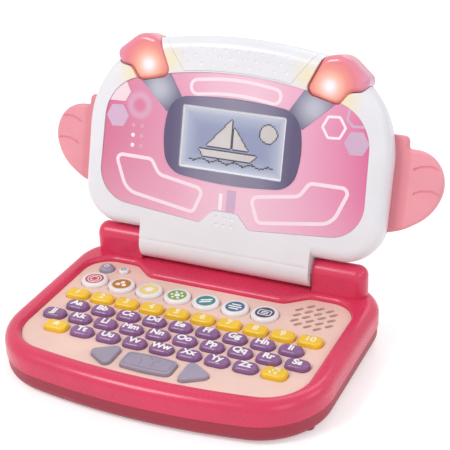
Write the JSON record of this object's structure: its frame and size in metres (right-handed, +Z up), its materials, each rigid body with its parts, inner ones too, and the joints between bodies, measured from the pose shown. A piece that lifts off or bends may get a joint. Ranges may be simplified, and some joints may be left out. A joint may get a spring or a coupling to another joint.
{
  "type": "toy laptop computer",
  "caption": "Open toy laptop: coral base with keyboard, activity buttons and speaker slots, and a hinged white lid with a small screen, two lamps, mitten hands and a carrying grip.",
  "frame": {"origin": "middle of the open toy's footprint, on the table under its feet", "axes": "+X to the player's right, +Y to the back, +Z up"},
  "size_m": [0.2676, 0.1877, 0.1742],
  "materials": {
    "coral_shell": "satin moulded coral plastic",
    "coral_lower": "fine-grained darker coral plastic",
    "peach_plate": "fine-grained peach plastic",
    "white_shell": "satin moulded white plastic",
    "pink_panel": "printed pink film, gloss",
    "grey_surround": "satin grey-violet plastic",
    "clear_window": "clear gloss",
    "screen": "liquid crystal cell",
    "lamp_pink": "milky pink plastic",
    "led_clear": "clear lens",
    "hand_pink": "soft satin pink plastic",
    "yellow_key": "gloss yellow plastic",
    "purple_key": "gloss purple plastic",
    "white_button": "gloss white plastic",
    "grey_button": "satin grey-violet plastic",
    "silicone": "silicone sheet",
    "circuit_board": "green solder mask",
    "speaker_black": "black cone and steel can",
    "tray_black": "black plastic",
    "battery": "plain wrapped steel can",
    "steel": "plated steel",
    "washer": "plain nylon",
    "foot_rubber": "dark soft rubber"
  },
  "bodies": {
    "base": {"base_top_case": "coral_shell", "base_bottom_case": "coral_lower", "keyboard_plate": "peach_plate", "key_membrane": "silicone", "main_circuit_board": "circuit_board", "speaker": "speaker_black", "battery_tray": "tray_black", "battery_cells": "battery", "battery_contacts": "steel", "battery_door": "coral_lower", "battery_door_screw": "steel", "case_screws": "steel", "rubber_feet": "foot_rubber", "hinge_pins": "steel", "hinge_washers": "washer"},
    "lid": {"lid_front_frame": "white_shell", "lid_rear_cover": "white_shell", "face_panel": "pink_panel", "screen_surround": "grey_surround", "screen_window": "clear_window", "lcd_module": "screen", "screen_circuit_board": "circuit_board", "carry_handle": "white_shell", "lamp_right": "lamp_pink", "lamp_left": "lamp_pink", "lamp_leds": "led_clear", "hand_right": "hand_pink", "hand_left": "hand_pink", "lid_screws": "steel"},
    "number_key_1": {"number_key_1": "yellow_key"},
    "number_key_2": {"number_key_2": "yellow_key"},
    "number_key_3": {"number_key_3": "yellow_key"},
    "number_key_4": {"number_key_4": "yellow_key"},
    "number_key_5": {"number_key_5": "yellow_key"},
    "number_key_6": {"number_key_6": "yellow_key"},
    "number_key_7": {"number_key_7": "yellow_key"},
    "number_key_8": {"number_key_8": "yellow_key"},
    "number_key_9": {"number_key_9": "yellow_key"},
    "number_key_10": {"number_key_10": "yellow_key"},
    "smile_key": {"smile_key": "yellow_key"},
    "music_key": {"music_key": "yellow_key"},
    "letter_keys_a_to_i": {"letter_keys_a_to_i": "purple_key"},
    "letter_keys_j_to_s": {"letter_keys_j_to_s": "purple_key"},
    "letter_keys_t_to_z": {"letter_keys_t_to_z": "purple_key"},
    "activity_button_1": {"activity_button_1": "white_button"},
    "activity_button_2": {"activity_button_2": "white_button"},
    "activity_button_3": {"activity_button_3": "white_button"},
    "activity_button_4": {"activity_button_4": "white_button"},
    "activity_button_5": {"activity_button_5": "white_button"},
    "activity_button_6": {"activity_button_6": "white_button"},
    "activity_button_7": {"activity_button_7": "white_button"},
    "volume_button": {"volume_button": "white_button"},
    "power_button": {"power_button": "grey_button"},
    "centre_pad": {"centre_pad": "grey_button"},
    "arrow_key_right": {"arrow_key_right": "grey_button"},
    "arrow_key_left": {"arrow_key_left": "grey_button"}
  },
  "joints": [
    {"name": "lid_hinge", "type": "hinge", "parent": "base", "child": "lid", "pos_m": [0, 0.04818, 0.0405], "axis": [1, 0, 0], "range_deg": [0, 106.42]},
    {"name": "number_key_1_press", "type": "slide", "parent": "base", "child": "number_key_1", "axis": [0, 0, -1], "range_m": [0, 0.0016], "stiffness_N_per_m": 300, "springref_m": -0.001},
    {"name": "number_key_2_press", "type": "slide", "parent": "base", "child": "number_key_2", "axis": [0, 0, -1], "range_m": [0, 0.0016], "stiffness_N_per_m": 300, "springref_m": -0.001},
    {"name": "number_key_3_press", "type": "slide", "parent": "base", "child": "number_key_3", "axis": [0, 0, -1], "range_m": [0, 0.0016], "stiffness_N_per_m": 300, "springref_m": -0.001},
    {"name": "number_key_4_press", "type": "slide", "parent": "base", "child": "number_key_4", "axis": [0, 0, -1], "range_m": [0, 0.0016], "stiffness_N_per_m": 300, "springref_m": -0.001},
    {"name": "number_key_5_press", "type": "slide", "parent": "base", "child": "number_key_5", "axis": [0, 0, -1], "range_m": [0, 0.0016], "stiffness_N_per_m": 300, "springref_m": -0.001},
    {"name": "number_key_6_press", "type": "slide", "parent": "base", "child": "number_key_6", "axis": [0, 0, -1], "range_m": [0, 0.0016], "stiffness_N_per_m": 300, "springref_m": -0.001},
    {"name": "number_key_7_press", "type": "slide", "parent": "base", "child": "number_key_7", "axis": [0, 0, -1], "range_m": [0, 0.0016], "stiffness_N_per_m": 300, "springref_m": -0.001},
    {"name": "number_key_8_press", "type": "slide", "parent": "base", "child": "number_key_8", "axis": [0, 0, -1], "range_m": [0, 0.0016], "stiffness_N_per_m": 300, "springref_m": -0.001},
    {"name": "number_key_9_press", "type": "slide", "parent": "base", "child": "number_key_9", "axis": [0, 0, -1], "range_m": [0, 0.0016], "stiffness_N_per_m": 300, "springref_m": -0.001},
    {"name": "number_key_10_press", "type": "slide", "parent": "base", "child": "number_key_10", "axis": [0, 0, -1], "range_m": [0, 0.0016], "stiffness_N_per_m": 300, "springref_m": -0.001},
    {"name": "smile_key_press", "type": "slide", "parent": "base", "child": "smile_key", "axis": [0, 0, -1], "range_m": [0, 0.0016], "stiffness_N_per_m": 300, "springref_m": -0.001},
    {"name": "music_key_press", "type": "slide", "parent": "base", "child": "music_key", "axis": [0, 0, -1], "range_m": [0, 0.0016], "stiffness_N_per_m": 300, "springref_m": -0.001},
    {"name": "letter_keys_a_to_i_press", "type": "slide", "parent": "base", "child": "letter_keys_a_to_i", "axis": [0, 0, -1], "range_m": [0, 0.0016], "stiffness_N_per_m": 300, "springref_m": -0.001},
    {"name": "letter_keys_j_to_s_press", "type": "slide", "parent": "base", "child": "letter_keys_j_to_s", "axis": [0, 0, -1], "range_m": [0, 0.0016], "stiffness_N_per_m": 300, "springref_m": -0.001},
    {"name": "letter_keys_t_to_z_press", "type": "slide", "parent": "base", "child": "letter_keys_t_to_z", "axis": [0, 0, -1], "range_m": [0, 0.0016], "stiffness_N_per_m": 300, "springref_m": -0.001},
    {"name": "activity_button_1_press", "type": "slide", "parent": "base", "child": "activity_button_1", "axis": [0, 0, -1], "range_m": [0, 0.0016], "stiffness_N_per_m": 300, "springref_m": -0.001},
    {"name": "activity_button_2_press", "type": "slide", "parent": "base", "child": "activity_button_2", "axis": [0, 0, -1], "range_m": [0, 0.0016], "stiffness_N_per_m": 300, "springref_m": -0.001},
    {"name": "activity_button_3_press", "type": "slide", "parent": "base", "child": "activity_button_3", "axis": [0, 0, -1], "range_m": [0, 0.0016], "stiffness_N_per_m": 300, "springref_m": -0.001},
    {"name": "activity_button_4_press", "type": "slide", "parent": "base", "child": "activity_button_4", "axis": [0, 0, -1], "range_m": [0, 0.0016], "stiffness_N_per_m": 300, "springref_m": -0.001},
    {"name": "activity_button_5_press", "type": "slide", "parent": "base", "child": "activity_button_5", "axis": [0, 0, -1], "range_m": [0, 0.0016], "stiffness_N_per_m": 300, "springref_m": -0.001},
    {"name": "activity_button_6_press", "type": "slide", "parent": "base", "child": "activity_button_6", "axis": [0, 0, -1], "range_m": [0, 0.0016], "stiffness_N_per_m": 300, "springref_m": -0.001},
    {"name": "activity_button_7_press", "type": "slide", "parent": "base", "child": "activity_button_7", "axis": [0, 0, -1], "range_m": [0, 0.0016], "stiffness_N_per_m": 300, "springref_m": -0.001},
    {"name": "volume_button_press", "type": "slide", "parent": "base", "child": "volume_button", "axis": [0, 0, -1], "range_m": [0, 0.0016], "stiffness_N_per_m": 300, "springref_m": -0.001},
    {"name": "power_button_press", "type": "slide", "parent": "base", "child": "power_button", "axis": [0, 0, -1], "range_m": [0, 0.0016], "stiffness_N_per_m": 300, "springref_m": -0.001},
    {"name": "centre_pad_press", "type": "slide", "parent": "base", "child": "centre_pad", "axis": [0, 0, -1], "range_m": [0, 0.0016], "stiffness_N_per_m": 300, "springref_m": -0.001},
    {"name": "arrow_key_right_press", "type": "slide", "parent": "base", "child": "arrow_key_right", "axis": [0, 0, -1], "range_m": [0, 0.0016], "stiffness_N_per_m": 300, "springref_m": -0.001},
    {"name": "arrow_key_left_press", "type": "slide", "parent": "base", "child": "arrow_key_left", "axis": [0, 0, -1], "range_m": [0, 0.0016], "stiffness_N_per_m": 300, "springref_m": -0.001}
  ]
}
